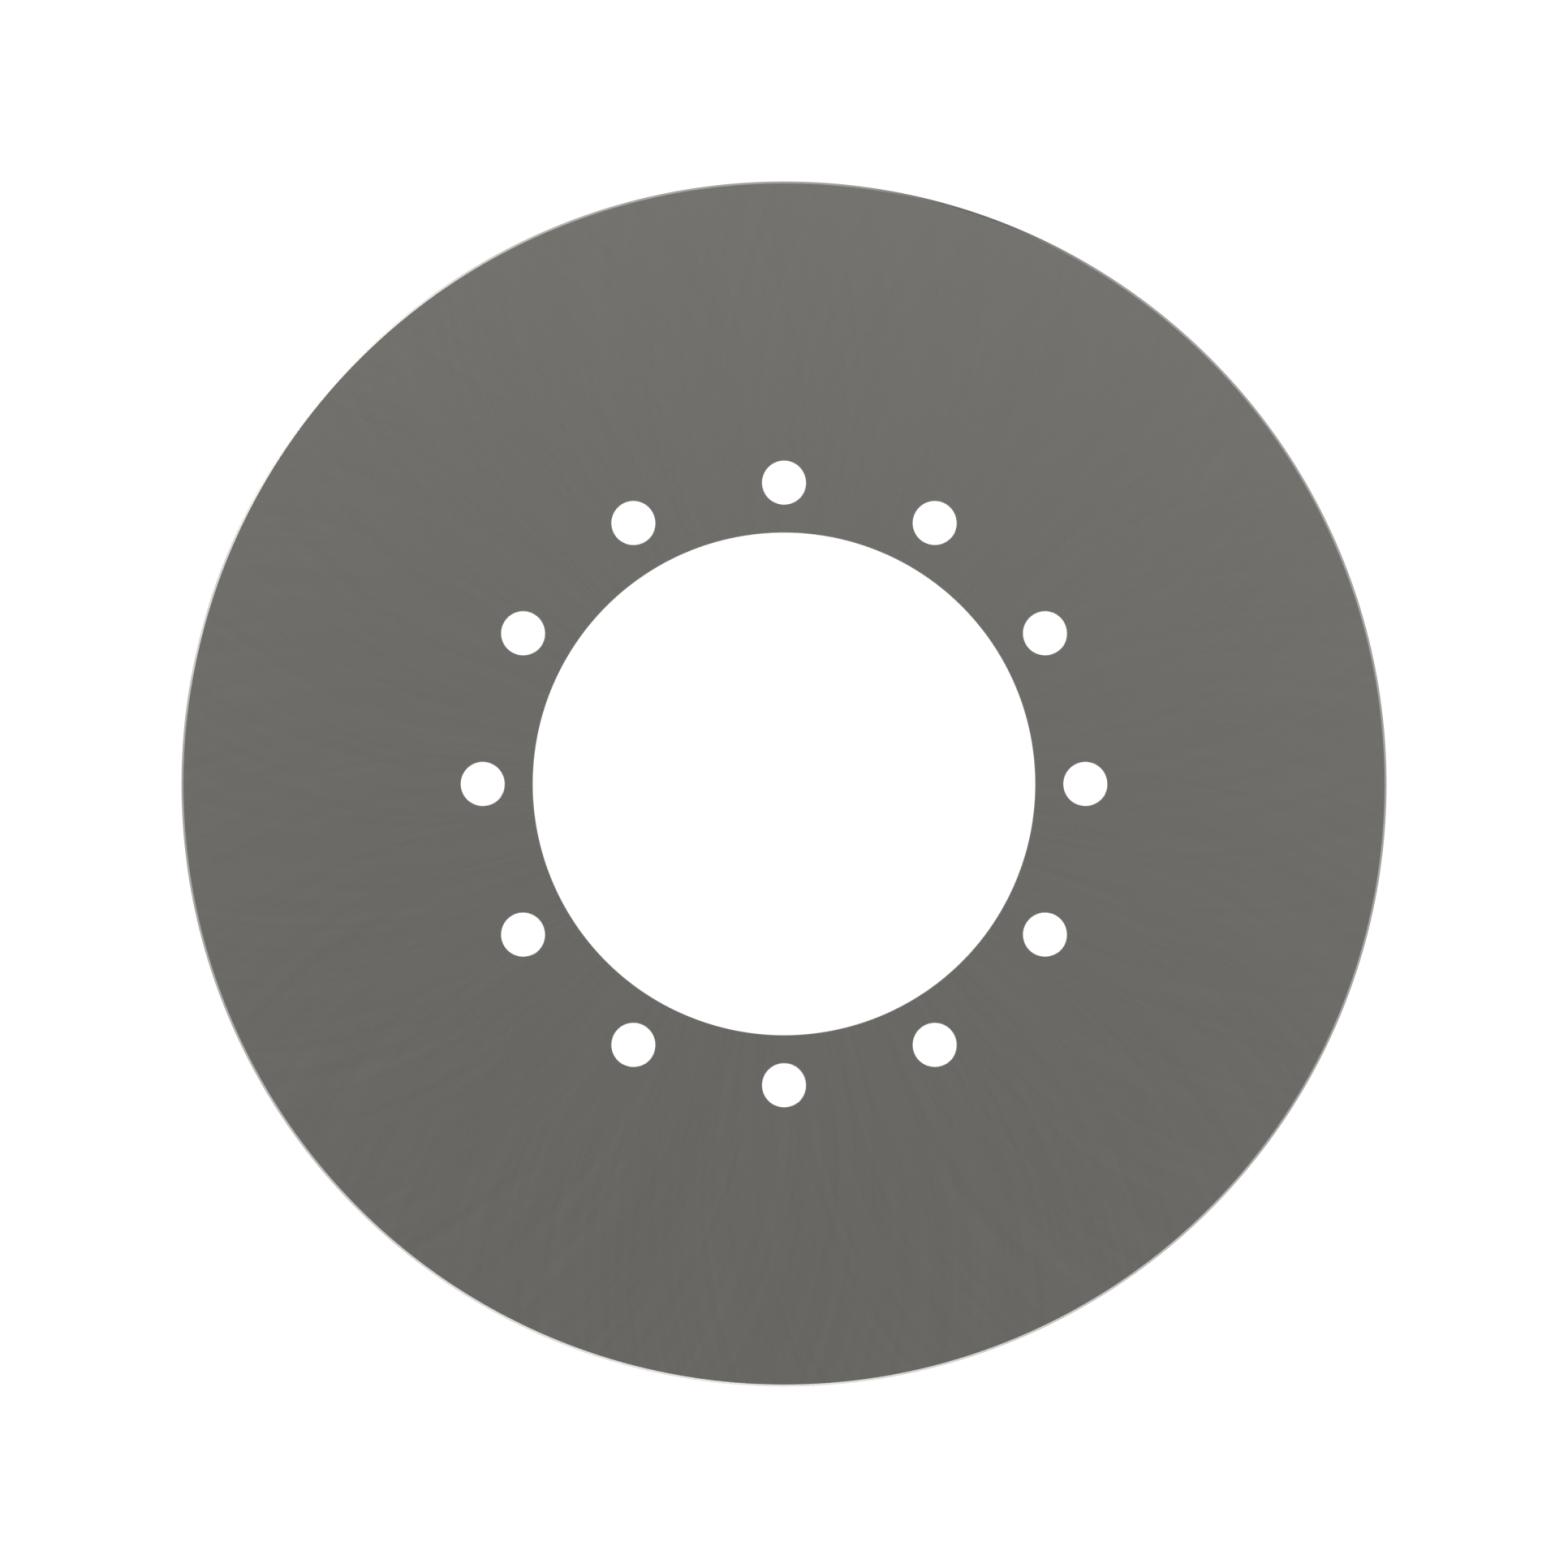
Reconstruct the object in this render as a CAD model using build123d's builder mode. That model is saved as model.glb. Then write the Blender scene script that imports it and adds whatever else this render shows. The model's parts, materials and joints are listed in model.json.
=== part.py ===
from build123d import *
import os

# A solid motorcycle brake disc rotor: one flat ring of steel plate, ground on both faces. The bore
# centres it on the hub, a ring of bolt holes fastens it there, and the wide plain band outside the
# holes is what the brake pads grip. Nothing else belongs to it, so it is one piece and one node.
#
# Sizes are in millimetres. The disc lies flat: its axis is Z, the origin is the middle of the bore in
# the plane of the hub-side face, and the disc fills z = 0 to its thickness. Both faces are alike.

# Driving dimensions
outer_diameter = 240.0
thickness = 5.0
bore_diameter = 100.0
bolt_hole_diameter = 8.7  # an M8 bolt goes through with room to spare
bolt_hole_count = 12  # the first one lies on +X
bore_land = 5.65  # the metal left between the bore and each bolt hole
rim_chamfer = 0.4  # on both edges of the outside, so that the pads slip on
edge_break = 0.1  # deburring, on both edges of the bore and of each bolt hole

# The bolt holes follow the bore, so that the land between them keeps its width
bolt_circle_radius = bore_diameter / 2 + bore_land + bolt_hole_diameter / 2


def circles_by_size(part):
    """The part's circular edges in groups of equal radius, smallest first: bolt holes, bore, rim."""
    return part.edges().filter_by(GeomType.CIRCLE).group_by(SortBy.RADIUS)


with BuildPart() as rotor_disc:
    # The blank, turned to its outer diameter
    with BuildSketch(Plane.XY):
        Circle(outer_diameter / 2)
    extrude(amount=thickness)

    # Bored and drilled right through
    Hole(bore_diameter / 2)
    with PolarLocations(bolt_circle_radius, bolt_hole_count):
        Hole(bolt_hole_diameter / 2)

    # Bevelled outside, then deburred inside
    chamfer(circles_by_size(rotor_disc)[-1], rim_chamfer)
    bolt_hole_edges, bore_edges, *rim_edges = circles_by_size(rotor_disc)
    chamfer(bolt_hole_edges + bore_edges, edge_break)

rotor_disc.part.label = "rotor_disc"

os.makedirs("parts", exist_ok=True)
export_step(rotor_disc.part, "parts/rotor_disc.step")
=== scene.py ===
# %% [markdown]
# # A motorcycle brake disc
#
# The real part is one flat ring of hard steel. It is cut from plate, turned, bored and drilled, and
# then ground flat on both faces, so everything to see on it is a circle and the mark of a tool. It
# bolts to the wheel's hub through the ring of holes, and the brake pads grip the wide band outside.
#
# This lesson starts from the packed part, which gives every size. It builds a finer mesh on those
# sizes, gives each machined surface its own procedural steel, and lights it on a light table.

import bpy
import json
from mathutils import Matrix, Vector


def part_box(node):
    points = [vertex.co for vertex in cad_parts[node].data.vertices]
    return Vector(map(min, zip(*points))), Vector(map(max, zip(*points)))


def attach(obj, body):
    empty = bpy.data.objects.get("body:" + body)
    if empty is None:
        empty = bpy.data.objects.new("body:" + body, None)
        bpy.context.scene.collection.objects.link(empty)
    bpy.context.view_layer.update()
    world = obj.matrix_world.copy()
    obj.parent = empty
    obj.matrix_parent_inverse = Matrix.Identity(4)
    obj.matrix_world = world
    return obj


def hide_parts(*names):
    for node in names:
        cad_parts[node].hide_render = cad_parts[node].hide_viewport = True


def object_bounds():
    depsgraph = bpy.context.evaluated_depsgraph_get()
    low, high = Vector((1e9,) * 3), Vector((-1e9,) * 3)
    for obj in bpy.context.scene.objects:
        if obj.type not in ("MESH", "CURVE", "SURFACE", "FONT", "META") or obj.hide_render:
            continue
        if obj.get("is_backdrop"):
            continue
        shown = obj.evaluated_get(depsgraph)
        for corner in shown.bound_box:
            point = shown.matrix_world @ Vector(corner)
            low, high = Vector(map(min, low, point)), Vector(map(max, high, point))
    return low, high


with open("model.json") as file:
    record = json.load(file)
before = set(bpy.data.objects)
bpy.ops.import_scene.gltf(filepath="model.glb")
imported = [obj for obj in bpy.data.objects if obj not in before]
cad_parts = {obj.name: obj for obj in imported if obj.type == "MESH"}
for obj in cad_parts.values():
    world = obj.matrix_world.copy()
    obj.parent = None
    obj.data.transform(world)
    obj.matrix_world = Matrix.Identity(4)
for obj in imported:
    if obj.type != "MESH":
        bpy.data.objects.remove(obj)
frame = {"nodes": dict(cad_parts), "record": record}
packed_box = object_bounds()
print("packed box in metres:", [list(corner) for corner in packed_box])

# %% [markdown]
# ## Read the sizes
#
# Nothing is typed in twice. The record's mounts name the bore and the bolt holes, and the packed
# node's box gives the outer diameter and the thickness. The two small bevels stand in no mount, but
# the packed mesh shows them: on the upper face the flat steel ends a bevel's width from each wall.

# %% Sizes, in metres
import json
import math

import bmesh
import bpy
from mathutils import Vector

MM = 0.001
HAIR = 0.001 * MM  # points closer than this are one point
mounts = {mount["name"]: mount for mount in frame["record"]["mounts"]}
bore_radius = mounts["hub_bore"]["dims"]["r_mm"] * MM
hole_radius = mounts["hub_bolts"]["dims"]["hole_r_mm"] * MM
hole_circle = mounts["hub_bolts"]["dims"]["pcd_mm"] * MM / 2
hole_count = mounts["hub_bolts"]["dims"]["count"]

_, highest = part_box("rotor_disc")  # the disc lies on z = 0, round the Z axis
rim_radius = highest.x
thickness = highest.z

packed_corners = [corner.co for corner in frame["nodes"]["rotor_disc"].data.vertices]
face_radii = [corner.xy.length for corner in packed_corners if abs(corner.z - thickness) < HAIR]
rim_bevel = rim_radius - max(face_radii)
edge_break = min(face_radii) - bore_radius
print(f"rim {rim_radius / MM:.2f}, thickness {thickness / MM:.2f}, rim bevel {rim_bevel / MM:.2f}")
print(f"bore {bore_radius / MM:.2f}, holes {hole_radius / MM:.2f}, edge break {edge_break / MM:.2f}")

# %% [markdown]
# ## Lay out the flat face
#
# A flat ring with holes could be one many-sided face, but shading and texture maps prefer even
# quads. The face is split the way the maker's drawing is: each bolt hole sits in a cell of its own, a
# slice of the ring around the bore, and outside the cells plain rings run to the rim.
#
# Each cell's border has as many points as its hole has, so the rings between the two are all quads.
# The border runs out along the cell's outer arc, in along one side, back along the bore and out again.

# %% Points of one bolt hole's cell
ARC_STEPS = 32
SIDE_STEPS = 16
hole_steps = 2 * (ARC_STEPS + SIDE_STEPS)
ring_steps = hole_count * ARC_STEPS
cell_angle = math.tau / hole_count

bore_edge = bore_radius + edge_break
hole_edge = hole_radius + edge_break
rim_edge = rim_radius - rim_bevel
cell_edge = 2 * hole_circle - bore_edge  # as far outside the bolt circle as the bore is inside it


def on_circle(radius, angle, z, centre=Vector((0, 0))):
    """A point on a level circle."""
    return Vector((centre.x + radius * math.cos(angle), centre.y + radius * math.sin(angle), z))


def between(start, end, share):
    """The value that lies this share of the way from start to end."""
    return start + (end - start) * share


def hole_centre(index):
    """The middle of a bolt hole. The first one lies on +X."""
    return on_circle(hole_circle, index * cell_angle, 0).xy


def hole_ring(index, radius, z):
    """A closed ring of points around a bolt hole, which starts opposite its cell's first corner."""
    start = index * cell_angle - ARC_STEPS / 2 * math.tau / hole_steps
    angles = [start + k * math.tau / hole_steps for k in range(hole_steps)]
    return [on_circle(radius, angle, z, hole_centre(index)) for angle in angles]


def cell_border(index, z):
    """A closed ring of points around a bolt hole's cell, from the near end of its outer arc."""
    near, far = (index - 0.5) * cell_angle, (index + 0.5) * cell_angle
    arc = [k / ARC_STEPS for k in range(ARC_STEPS)]
    side = [k / SIDE_STEPS for k in range(SIDE_STEPS)]
    outer_arc = [on_circle(cell_edge, between(near, far, share), z) for share in arc]
    inward = [on_circle(between(cell_edge, bore_edge, share), far, z) for share in side]
    bore_arc = [on_circle(bore_edge, between(far, near, share), z) for share in arc]
    outward = [on_circle(between(bore_edge, cell_edge, share), near, z) for share in side]
    return outer_arc + inward + bore_arc + outward


print(f"{hole_steps} points round each hole, {ring_steps} round the bore and the rim")

# %% [markdown]
# ## Build the disc
#
# Every surface of the part is a stack of closed rings with quads between neighbours, so one helper
# makes them all. The faces are level rings. The walls step down through the thickness, and turn in
# at both ends for the bevels.

# %% Rings and walls
def add_rings(skin, rings):
    """Adds quads between each ring of points and the next."""
    rows = [[skin.verts.new(point) for point in ring] for ring in rings]
    for row, following in zip(rows, rows[1:]):
        for k in range(len(row)):
            after = (k + 1) % len(row)
            skin.faces.new((row[k], row[after], following[after], following[k]))


def disc_ring(radius, z):
    """A closed ring of points round the disc's axis, in step with the cells' arcs."""
    angles = [k / ring_steps * math.tau - cell_angle / 2 for k in range(ring_steps)]
    return [on_circle(radius, angle, z) for angle in angles]


def wall_profile(radius, bevel):
    """A wall's (radius, height) corners from the upper face down. The rim's bevel is negative."""
    depth = abs(bevel)
    upper = [(radius + bevel, thickness), (radius, thickness - depth)]
    lower = [(radius, depth), (radius + bevel, 0)]
    return upper + [(radius, thickness / 2)] + lower


for radius, z in wall_profile(rim_radius, -rim_bevel):
    print(f"the rim's wall has a ring of radius {radius / MM:.2f} at height {z / MM:.2f}")

# %% [markdown]
# ## Close the skin
#
# The pieces meet point to point, so one weld closes the skin. A closed skin has no open edges, and
# its counts of points, edges and faces say how many openings go right through it. There has to be
# one for the bore and one for each bolt hole.

# %% Skin made of rings
CELL_RINGS = 5
BAND_RINGS = 12
CROWDING = 1.5  # above 1, a cell's rings lie closer together near its hole

skin = bmesh.new()
for z in (thickness, 0):
    for index in range(hole_count):
        hole, border = hole_ring(index, hole_edge, z), cell_border(index, z)
        shares = [(k / CELL_RINGS) ** CROWDING for k in range(CELL_RINGS + 1)]
        add_rings(skin, [[a.lerp(b, share) for a, b in zip(hole, border)] for share in shares])
    radii = [between(cell_edge, rim_edge, k / BAND_RINGS) for k in range(BAND_RINGS + 1)]
    add_rings(skin, [disc_ring(radius, z) for radius in radii])
add_rings(skin, [disc_ring(radius, z) for radius, z in wall_profile(rim_radius, -rim_bevel)])
add_rings(skin, [disc_ring(radius, z) for radius, z in wall_profile(bore_radius, edge_break)])
for index in range(hole_count):
    add_rings(skin, [hole_ring(index, radius, z) for radius, z in wall_profile(hole_radius, edge_break)])

bmesh.ops.remove_doubles(skin, verts=skin.verts, dist=HAIR)
bmesh.ops.recalc_face_normals(skin, faces=skin.faces)
open_edges = sum(not edge.is_manifold for edge in skin.edges)
openings = 1 - (len(skin.verts) - len(skin.edges) + len(skin.faces)) // 2
print(f"{len(skin.faces)} quads, {open_edges} open edges, {openings} openings right through")
print(f"volume {skin.calc_volume() / MM ** 3:.0f} cubic millimetres")

# %% [markdown]
# ## Tell the machined surfaces apart
#
# Four tools made the surfaces. A grinding wheel left the two flat faces, a lathe left the rim and the
# bore, a drill left the bolt holes, and a bevelling tool took the sharp edges off last. Each gets a
# material slot of its own. A quad's direction and distance from the axis say which one it needs.

# %% Material slots and smooth shading
GROUND, TURNED, DRILLED, BEVELLED = range(4)
LEVEL, SLANTED = 0.9, 0.4  # least upward share of a face's and a bevel's direction


def in_a_hole(quad):
    """Whether this quad lies where the bolt holes are."""
    return bore_edge < quad.calc_center_median().xy.length < cell_edge


def tool_of(quad):
    """The tool that made this quad."""
    if abs(quad.normal.z) > LEVEL:
        return GROUND
    if abs(quad.normal.z) > SLANTED:
        return BEVELLED
    return DRILLED if in_a_hole(quad) else TURNED


for quad in skin.faces:
    quad.material_index = tool_of(quad)
    quad.smooth = True
for tool, name in enumerate(("ground", "turned", "drilled", "bevelled")):
    print(name, "quads:", sum(quad.material_index == tool for quad in skin.faces))

# %% [markdown]
# ## Unroll the skin onto a map
#
# The finish is procedural and needs no map, but colours baked from it would need one square to lie
# on. The two faces lie corner to corner, as large as the square lets them. The walls are cut and
# unrolled into three thin strips below: the rim, the bore, and the bolt holes side by side.

# %% Texture map
MAP_GAP = 0.004  # all of these are shares of the square's side
FACE_SHARE = 0.282  # from the axis to the rim
STRIP_COUNT, STRIP_STEP = 3, 0.016
STRIP_FILL = STRIP_STEP * 0.64  # a wall's thickness on its strip, which leaves a gap beside it
low_spot = MAP_GAP + FACE_SHARE
high_spot = 1 - low_spot
face_places = {
    1: Vector((high_spot, high_spot)),
    -1: Vector((low_spot, STRIP_COUNT * STRIP_STEP + low_spot)),
}


def face_spot(point, side):
    """Where a point of the upper (1) or lower (-1) face lies on the map, as seen from outside."""
    return face_places[side] + Vector((side * point.x, point.y)) * FACE_SHARE / rim_radius


def wall_spot(point, middle, centre, radius, strip):
    """Where a point of a round wall lies on its strip. The strip starts behind the wall's middle."""
    row, left, width = strip
    spoke, middle_spoke = point.xy - centre, middle.xy - centre
    turn = math.atan2(middle_spoke.y, middle_spoke.x) + math.pi + spoke.angle_signed(middle_spoke)
    height = point.z - thickness / 2
    climb = math.copysign(abs(height) + abs(spoke.length - radius), height) / thickness
    return Vector((left + turn / math.tau * width, (row + 0.5) * STRIP_STEP + climb * STRIP_FILL))


def map_spot(point, quad, middle):
    """Where a corner of a quad lies on the map."""
    whole = (2 * MAP_GAP, 1 - 4 * MAP_GAP)
    if quad.material_index == GROUND:
        return face_spot(point, 1 if quad.normal.z > 0 else -1)
    if not in_a_hole(quad):
        outside = middle.xy.length > hole_circle
        radius, row = (rim_radius, 0) if outside else (bore_radius, 1)
        return wall_spot(point, middle, Vector((0, 0)), radius, (row, *whole))
    index = round(math.atan2(middle.y, middle.x) / cell_angle) % hole_count
    strip = (2, index / hole_count + MAP_GAP, 1 / hole_count - 2 * MAP_GAP)
    return wall_spot(point, middle, hole_centre(index), hole_radius, strip)


bake_map = skin.loops.layers.uv.new("OFBake")
for quad in skin.faces:
    middle = quad.calc_center_median()
    for corner in quad.loops:
        corner[bake_map].uv = map_spot(corner.vert.co, quad, middle)
spots = [corner[bake_map].uv for quad in skin.faces for corner in quad.loops]
for side, values in (("across", [spot.x for spot in spots]), ("up", [spot.y for spot in spots])):
    print(f"the map runs {side} from {min(values):.4f} to {max(values):.4f}")

# %% [markdown]
# ## Put the finer disc in the packed one's place
#
# The packed mesh rounds its circles with short flats, enough for weighing and collision. The new one
# has the same sizes with many more points, so it stands for the packed node and rides where it rode.
# Edges sharper than 30 degrees stay crisp, and the many small turns of the round walls blend.

# %% The disc as an object
CREASE = math.radians(30)

mesh = bpy.data.meshes.new("brake_disc")
skin.to_mesh(mesh)
skin.free()
mesh.set_sharp_from_angle(angle=CREASE)
disc = bpy.data.objects.new("brake_disc", mesh)
bpy.context.scene.collection.objects.link(disc)
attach(disc, "root")
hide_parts("rotor_disc")

# %% [markdown]
# ## Write shader maths as sums
#
# A material is a net of nodes, and most of them are sums. They could be placed and joined one by one,
# but a small class lets a sum be written as one. It wraps a node's output, and adding to it, or
# dividing by it, adds the Math node that does so. Its node method makes any other kind of node, with
# its settings first and then its inputs.

# %% Wire
def feed(node, inputs):
    """Gives a node's inputs their numbers or wires."""
    for name, value in inputs.items():
        if isinstance(value, Wire):
            node.id_data.links.new(value.socket, node.inputs[name])
        else:
            node.inputs[name].default_value = value


class Wire:
    """An output of a shader node, which can be used in arithmetic."""

    def __init__(self, socket):
        self.socket = socket

    @staticmethod
    def node(tree, kind, settings, inputs, output=0):
        """Adds a node, sets it up, feeds its inputs, and returns one of its outputs."""
        made = tree.nodes.new("ShaderNode" + kind)
        for name, setting in settings.items():
            setattr(made, name, setting)
        feed(made, inputs)
        return Wire(made.outputs[output])

    @staticmethod
    def maths(operation, *values):
        """Adds a Math node for these numbers and wires."""
        tree = next(value.socket.id_data for value in values if isinstance(value, Wire))
        return Wire.node(tree, "Math", {"operation": operation}, dict(enumerate(values)))

    def __add__(self, other):
        return Wire.maths("ADD", self, other)

    def __radd__(self, other):
        return Wire.maths("ADD", other, self)

    def __sub__(self, other):
        return Wire.maths("SUBTRACT", self, other)

    def __rsub__(self, other):
        return Wire.maths("SUBTRACT", other, self)

    def __mul__(self, other):
        return Wire.maths("MULTIPLY", self, other)

    def __rmul__(self, other):
        return Wire.maths("MULTIPLY", other, self)

    def __truediv__(self, other):
        return Wire.maths("DIVIDE", self, other)

    def __pow__(self, other):
        return Wire.maths("POWER", self, other)


print("a wire knows", [name for name in vars(Wire) if callable(getattr(Wire, name))])

# %% [markdown]
# ## Find the place, then read noise there
#
# A procedural finish is worked out from the place of each spot. The object's own coordinates are in
# metres, and they stay with the disc wherever it goes. Noise turns a place into a height that changes
# smoothly, and bending or stretching the place first bends or stretches what the noise draws.

# %% Place and noise
def parts_of(vector):
    """The x, y and z of a vector wire."""
    split = Wire.node(vector.socket.id_data, "SeparateXYZ", {}, {"Vector": vector}).socket.node
    return [Wire(socket) for socket in split.outputs]


def object_place(tree):
    """The x, y and z of the spot being shaded, in metres from the object's origin."""
    return parts_of(Wire.node(tree, "TexCoord", {}, {}, output="Object"))


def distance(x, y):
    """How far a place is from the Z axis."""
    return (x * x + y * y) ** 0.5


def noise(x, y, z, detail):
    """Smooth noise, mostly between 0 and 1, with about one bump for each unit of x, y and z."""
    tree = x.socket.id_data
    place = Wire.node(tree, "CombineXYZ", {}, {0: x, 1: y, 2: z})
    return Wire.node(tree, "TexNoise", {}, {"Vector": place, "Scale": 1.0, "Detail": detail})


for helper in (parts_of, object_place, distance, noise):
    print(f"{helper.__name__}: {helper.__doc__}")

# %% [markdown]
# ## Start each steel the same way
#
# All four finishes are bare steel, so one helper sets that up. A metal has no colour of its own under
# a shine: its base colour is the share of light that it mirrors. Only the tools' marks differ. Each
# finish gives a height of marks from 0 to 1, and says how deep they are and how far they vary the
# colour and the roughness. A scratch is a little darker and duller than the steel beside it.

# %% Bare steel
def bare_steel(name, marks_of, colour, variation, roughness, unevenness, depth):
    """A steel with marks in its colour, its roughness and its relief."""
    material = bpy.data.materials.new(name)
    material.use_nodes = True
    tree = material.node_tree
    marks = marks_of(*object_place(tree))
    shares = (1 - variation, 1 + variation)
    dark, light = [(*(channel * share for channel in colour), 1.0) for share in shares]
    mixed = {"Factor": marks, 6: dark, 7: light}  # inputs 6 and 7 are the colours A and B
    tint = Wire.node(tree, "Mix", {"data_type": "RGBA"}, mixed, output=2)
    relief = Wire.node(tree, "Bump", {}, {"Height": marks, "Distance": depth, "Strength": 1.0})
    feed(tree.nodes["Principled BSDF"], {
        "Base Color": tint,
        "Metallic": 1.0,
        "Roughness": roughness + unevenness * (0.5 - marks),
        "Normal": relief,
    })
    disc.data.materials.append(material)
    print(f"{name}: {len(tree.nodes)} nodes")


# %% [markdown]
# ## Ground faces
#
# A disc's faces are ground by a cup wheel: a ring of grit, wider than the band it grinds, that spins
# while the disc turns slowly under it. Each grain ploughs an arc of the wheel's own circle, and the
# wheel's two sides leave two sets of arcs that cross. They are fine and shallow, so the face looks
# plain and soft from afar and shows its cross-hatch close up or at a low angle.
#
# An arc is a circle of the wheel's radius around a point at the wheel's distance from the axis. The
# law of cosines gives how far round from that point a spot on the arc lies, so turning each spot back
# by that angle gives every spot of one arc the same direction. Noise read in that direction is a set
# of arcs. Reading it slowly along the radius as well makes each scratch start and stop.

# %% Ground face
WHEEL_RADIUS = 110 * MM
WHEEL_DISTANCE = 125 * MM
ARC_SPACING = 1.4 * MM
SCRATCH_REACH = 40 * MM
APART = 10.0  # a step through the noise after which marks have nothing in common


def grinding_arcs(x, y, z, side):
    """Noise along the arcs that one side (1 or -1) of the grinding wheel leaves, new on each face."""
    radius = distance(x, y)
    cosine = (radius * radius + WHEEL_DISTANCE ** 2 - WHEEL_RADIUS ** 2) / (radius * 2 * WHEEL_DISTANCE)
    sine = (1 - cosine * cosine) ** 0.5
    fineness = (bore_radius + rim_radius) / 2 / ARC_SPACING  # so the spacing holds midway out
    ahead = (x * cosine + side * y * sine) / radius * fineness
    across = (y * cosine - side * x * sine) / radius * fineness
    start = z * (3 * APART / thickness) + side * APART  # -1 or 1 below, and 2 or 4 above, times APART
    return noise(ahead, across, radius / SCRATCH_REACH + start, detail=2.0)


def ground_marks(x, y, z):
    """Two sets of crossing arcs."""
    return (grinding_arcs(x, y, z, side=1) + grinding_arcs(x, y, z, side=-1)) / 2


STEEL = (0.42, 0.404, 0.373)
bare_steel("ground_steel", ground_marks, STEEL,
           variation=0.045, roughness=0.30, unevenness=0.30, depth=0.022 * MM)

# %% [markdown]
# ## Turned rim and bore
#
# The lathe tool feeds along the axis as the disc spins, so it leaves fine level lines round the rim
# and the bore. Noise that is stretched along the wall and squeezed through the thickness draws them.
# Nothing rubs these walls bright again, so they are a darker, duller steel than the faces.

# %% Turned wall
def level_lines(pitch, run):
    """Marks of a tool that feeds along Z: lines this pitch apart that keep their look for this run."""
    return lambda x, y, z: noise(x / run, y / run, z / pitch, detail=1.0)


DULL_STEEL = (0.36, 0.346, 0.32)
bare_steel("turned_steel", level_lines(pitch=0.14 * MM, run=60 * MM), DULL_STEEL,
           variation=0.08, roughness=0.38, unevenness=0.16, depth=0.004 * MM)

# %% [markdown]
# ## Drilled holes
#
# A drill cuts at a coarse feed, and its edges and chips rub the wall. So the lines in the bolt holes
# are coarser and shorter than the lathe's, and the steel there is a little brighter.

# %% Drilled wall
bare_steel("drilled_steel", level_lines(pitch=0.3 * MM, run=4 * MM), STEEL,
           variation=0.10, roughness=0.34, unevenness=0.20, depth=0.008 * MM)

# %% [markdown]
# ## Bevels
#
# The bevels are the last and lightest cuts, made with a fresh edge, so they are the brightest and
# smoothest steel on the disc. Each catches its surroundings as a thin line.

# %% Bevel
BRIGHT_STEEL = (0.50, 0.487, 0.468)
bare_steel("bevelled_steel", level_lines(pitch=0.14 * MM, run=60 * MM), BRIGHT_STEEL,
           variation=0.06, roughness=0.17, unevenness=0.10, depth=0.003 * MM)

# %% [markdown]
# ## A light table for a floor
#
# Catalogue pictures of such parts are taken on a lit sheet of glossy white acrylic. It is pure white
# straight through the bore and the holes, with no grey shadow in them. Seen low, its gloss takes over
# from its glow and mirrors the rim, which shows that the disc rests on it. Glow and gloss are mixed
# by Fresnel, as in the real sheet, and the polish fades out round the disc.
#
# The steel meets a dimmer glow than the camera does, so that the walls of the holes stay darker than
# the sheet. From below the sheet is clear, so that the lower face can be looked at too. It isn't part
# of the object, so it goes on stage.

# %% Light table
TABLE_SIZE = 4.0
TABLE_GAP = 0.05 * MM  # a hair below the disc, so that the two surfaces don't fight
GLOW_ON_STEEL, GLOW_ON_CAMERA = 0.50, 1.06
POLISH_END = 1.4 * rim_radius
ACRYLIC_IOR, ACRYLIC_ROUGHNESS = 1.45, 0.12
WHITE = (1.0, 1.0, 1.0, 1.0)

bpy.ops.mesh.primitive_plane_add(size=TABLE_SIZE, location=(0, 0, -TABLE_GAP))
table = bpy.context.object
table.name = "light_table"
table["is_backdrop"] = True

acrylic = bpy.data.materials.new("lit_acrylic")
acrylic.use_nodes = True
tree = acrylic.node_tree
x, y, _ = object_place(tree)
polish = Wire.node(tree, "MapRange", {"interpolation_type": "SMOOTHSTEP"}, {
    "Value": distance(x, y),
    "From Min": rim_radius,
    "From Max": POLISH_END,
    "To Min": 1.0,
    "To Max": 0.0,
})
mirrored = Wire.node(tree, "Fresnel", {}, {"IOR": ACRYLIC_IOR}) * polish
seen = Wire.node(tree, "LightPath", {}, {}, output="Is Camera Ray")
brightness = GLOW_ON_STEEL + seen * (GLOW_ON_CAMERA - GLOW_ON_STEEL)
glow = Wire.node(tree, "Emission", {}, {"Color": brightness})
gloss = Wire.node(tree, "BsdfGlossy", {}, {"Color": WHITE, "Roughness": ACRYLIC_ROUGHNESS})
sheet = Wire.node(tree, "MixShader", {}, {0: mirrored, 1: glow, 2: gloss})
clear = Wire.node(tree, "BsdfTransparent", {}, {"Color": WHITE})
below = Wire.node(tree, "NewGeometry", {}, {}, output="Backfacing")
surface = Wire.node(tree, "MixShader", {}, {0: below, 1: sheet, 2: clear})
feed(tree.nodes["Material Output"], {"Surface": surface})
table.data.materials.append(acrylic)
print(f"light table {TABLE_SIZE:.0f} metres square, {len(tree.nodes)} nodes")

# %% [markdown]
# ## A light tent to mirror
#
# Bare steel shows nothing but its surroundings, so they give it its tones. The disc lies in a round
# tent of white cloth that is lit from outside. Cloth this close looks different from each spot of the
# disc, so every face gets a soft run of tone. The tent is dim at the top, and the faces look mid grey
# from above. Its walls are bright, and at a low angle the same faces turn to silver. The camera looks
# through the cloth, to the white room around it.

# %% Light tent
TENT_RADIUS = 0.4
TENT_SEGMENTS, TENT_RINGS = 96, 48

bpy.ops.mesh.primitive_uv_sphere_add(segments=TENT_SEGMENTS, ring_count=TENT_RINGS, radius=TENT_RADIUS)
tent = bpy.context.object
tent.name = "light_tent"
tent.visible_camera = False
tent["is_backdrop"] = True
print(f"light tent {TENT_RADIUS:.1f} metres in radius, {len(tent.data.polygons)} faces")

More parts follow.
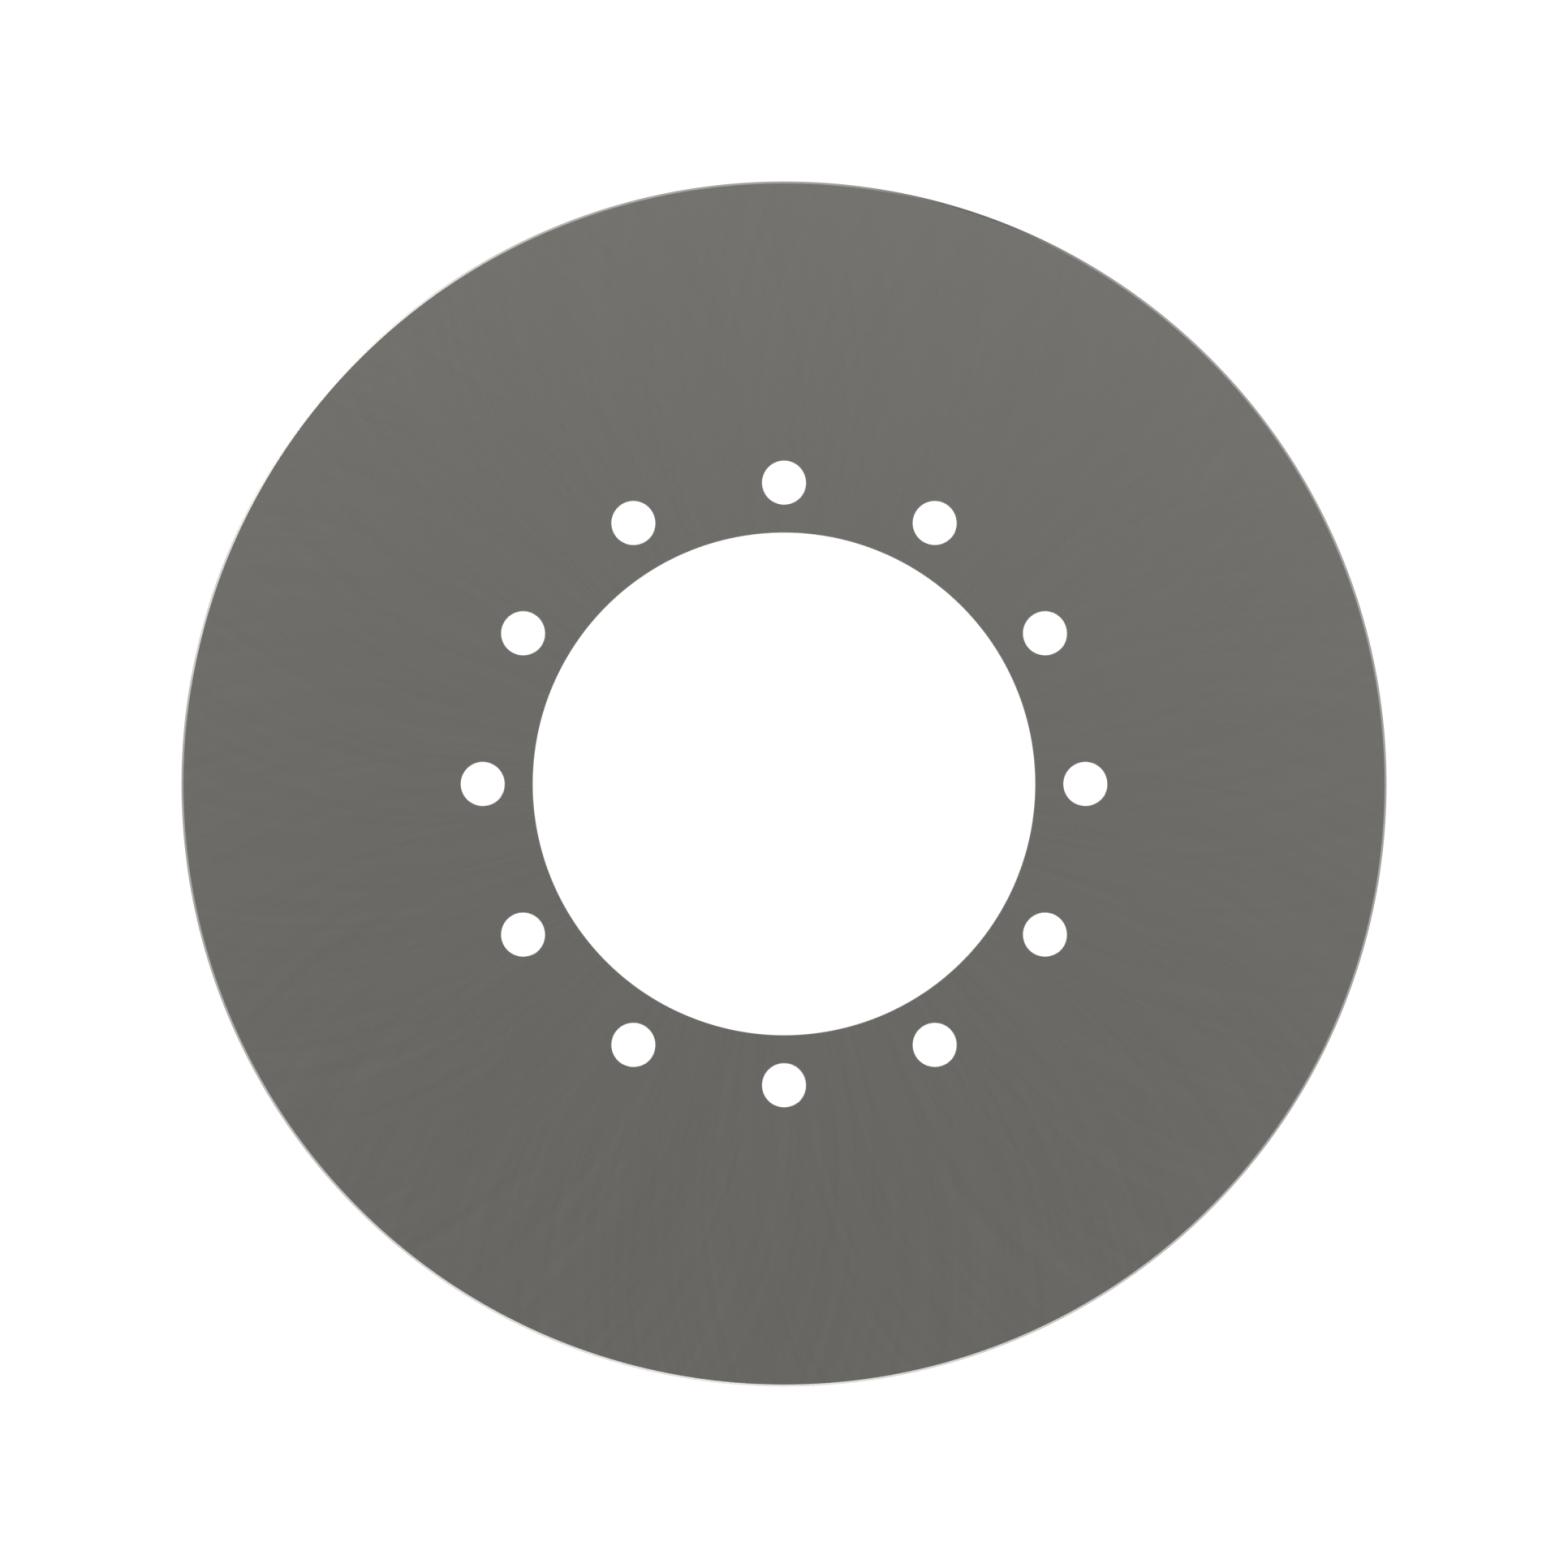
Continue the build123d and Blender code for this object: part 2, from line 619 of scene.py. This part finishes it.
# %% [markdown]
# ## Lights on the cloth
#
# The rim's 45 degree bevel mirrors the foot of the wall upwards, as a thin light line. A window at
# the back left, with a narrow strip light beside it, and a wide lamp in front are the brightest. A
# black flag at the back, a little right, makes one dark stretch. Each is a soft spot: the closer a
# direction is to its middle, the stronger it is.
#
# They could be lamps outside the tent, but then their light would have to find its way through the
# cloth, which is slow to work out. Instead the cloth glows by itself, by a sum that has one term for
# each light.

# %% Glowing cloth
TOP_GLOW = 0.33  # a glow of 1 is as bright as the white room
BACK_GLOW, BACK_ANGLE = 0.19, 80  # the back is brighter by this, and the front dimmer
WALL_GLOW, WALL_SHAPE = 0.70, 1.7  # the shape says how fast the glow grows from the top down
WALL_WINDOW, WALL_LAMP = 0.70, 0.25  # what the spots add on the wall, which the faces mirror
FOOT_SHADE, FOOT_SHAPE = 0.18, 12.0  # the shape says how low the foot's own lights stay
FOOT_WINDOW, FOOT_STRIP = 2.1, 1.5  # along the foot, which the bevels mirror
FOOT_LAMP, FOOT_FLAG = 1.55, 1.55


def facing(x, y, angle):
    """How far a direction points this way, in degrees from +X: 1 straight there, -1 straight away."""
    return x * math.cos(math.radians(angle)) + y * math.sin(math.radians(angle))


def spot(x, y, angle, sharpness):
    """A soft spot on the horizon: 1 in its middle, and falling to 0."""
    return Wire.maths("MAXIMUM", facing(x, y, angle), 0.0) ** sharpness


def cloth_light(x, y, z):
    """How brightly the cloth glows in each direction. Nothing is darker than the flag's black."""
    window = spot(x, y, angle=140.5, sharpness=15)
    strip = spot(x, y, angle=167, sharpness=300)
    lamp = spot(x, y, angle=261, sharpness=3)
    flag = spot(x, y, angle=71, sharpness=90)
    wall = WALL_GLOW + window * WALL_WINDOW + lamp * WALL_LAMP
    foot_lights = window * FOOT_WINDOW + strip * FOOT_STRIP + lamp * FOOT_LAMP
    foot = foot_lights - flag * FOOT_FLAG - FOOT_SHADE
    lowness = x * x + y * y
    height = Wire.maths("MAXIMUM", z, 0.0)
    back = facing(x, y, BACK_ANGLE) * z * BACK_GLOW
    glow = TOP_GLOW + back + wall * lowness ** WALL_SHAPE + foot * (1 - height) ** FOOT_SHAPE
    return Wire.maths("MAXIMUM", glow, 0.0)


cloth = bpy.data.materials.new("tent_cloth")
cloth.use_nodes = True
cloth.cycles.emission_sampling = "NONE"  # rays find so large a light without being aimed at it
tree = cloth.node_tree
direction = [part / TENT_RADIUS for part in object_place(tree)]
light = Wire.node(tree, "Emission", {}, {"Color": cloth_light(*direction)})
feed(tree.nodes["Material Output"], {"Surface": light})
tent.data.materials.append(cloth)
print(f"glowing cloth: {len(tree.nodes)} nodes")

# %% [markdown]
# ## A white room
#
# Past the edge of the table and behind the cloth, the camera sees the room. It is as white as the
# table, so that the disc stands alone from every side.

# %% White room
world = bpy.data.worlds.new("white_room")
bpy.context.scene.world = world
world.use_nodes = True
feed(world.node_tree.nodes["Background"], {"Color": WHITE, "Strength": 1.0})
print("world:", world.name)

# %% [markdown]
# ## Camera
#
# The disc is drawn as on a data sheet: straight from above, without perspective, so the walls of the
# bore and the holes don't show. The view is wide enough to leave a margin around the rim.

# %% Camera
VIEW_SHARE = 1.301  # of the disc's diameter
CAMERA_HEIGHT = 1.0

lens = bpy.data.cameras.new("camera")
lens.type = "ORTHO"
lens.ortho_scale = VIEW_SHARE * 2 * rim_radius
camera = bpy.data.objects.new("camera", lens)
camera.location = (0, 0, CAMERA_HEIGHT)
bpy.context.scene.collection.objects.link(camera)
bpy.context.scene.camera = camera
bpy.context.scene.view_settings.view_transform = "Standard"
print(f"view {lens.ortho_scale / MM:.1f} millimetres wide")

# %% [markdown]
# ## Print both boxes and finish
#
# The finer disc must be as large as the packed one, so both boxes are kept side by side.

boxes = {"packed": packed_box, "finished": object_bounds()}
lists = {name: [list(corner) for corner in box] for name, box in boxes.items()}
for name, box in lists.items():
    print(name, "box in millimetres:", [[round(value / MM, 2) for value in corner] for corner in box])
